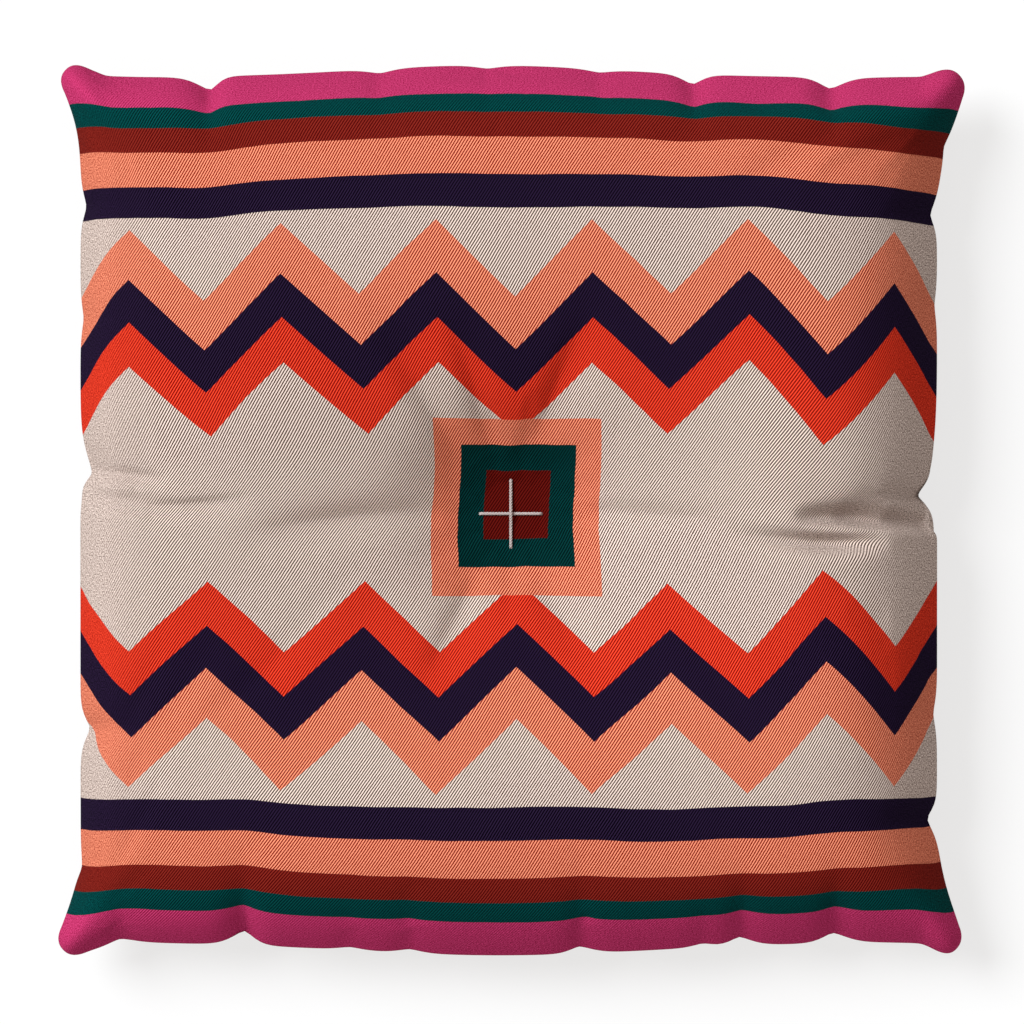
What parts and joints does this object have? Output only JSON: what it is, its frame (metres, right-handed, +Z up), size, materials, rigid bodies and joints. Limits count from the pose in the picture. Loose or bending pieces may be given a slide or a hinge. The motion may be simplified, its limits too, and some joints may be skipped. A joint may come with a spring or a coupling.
{
  "type": "floor pillow",
  "caption": "Square filled floor pillow with drawn-in sides, corner ears, puckered knife-edge seams and a middle drawn down by a cross stitch.",
  "frame": {"origin": "on the floor, under the middle of the pillow's box", "axes": "+Z up out of the crowned face, +X to the right side and +Y to the far side as seen from above"},
  "size_m": [0.6402, 0.6286, 0.1341],
  "materials": {
    "twill": "printed cotton twill with a coarse diagonal rib, matte",
    "thread": "thick twisted cotton thread, off-white"
  },
  "bodies": {
    "root": {"floor_pillow": "twill", "stitch_across": "thread", "stitch_upright": "thread"}
  },
  "joints": []
}
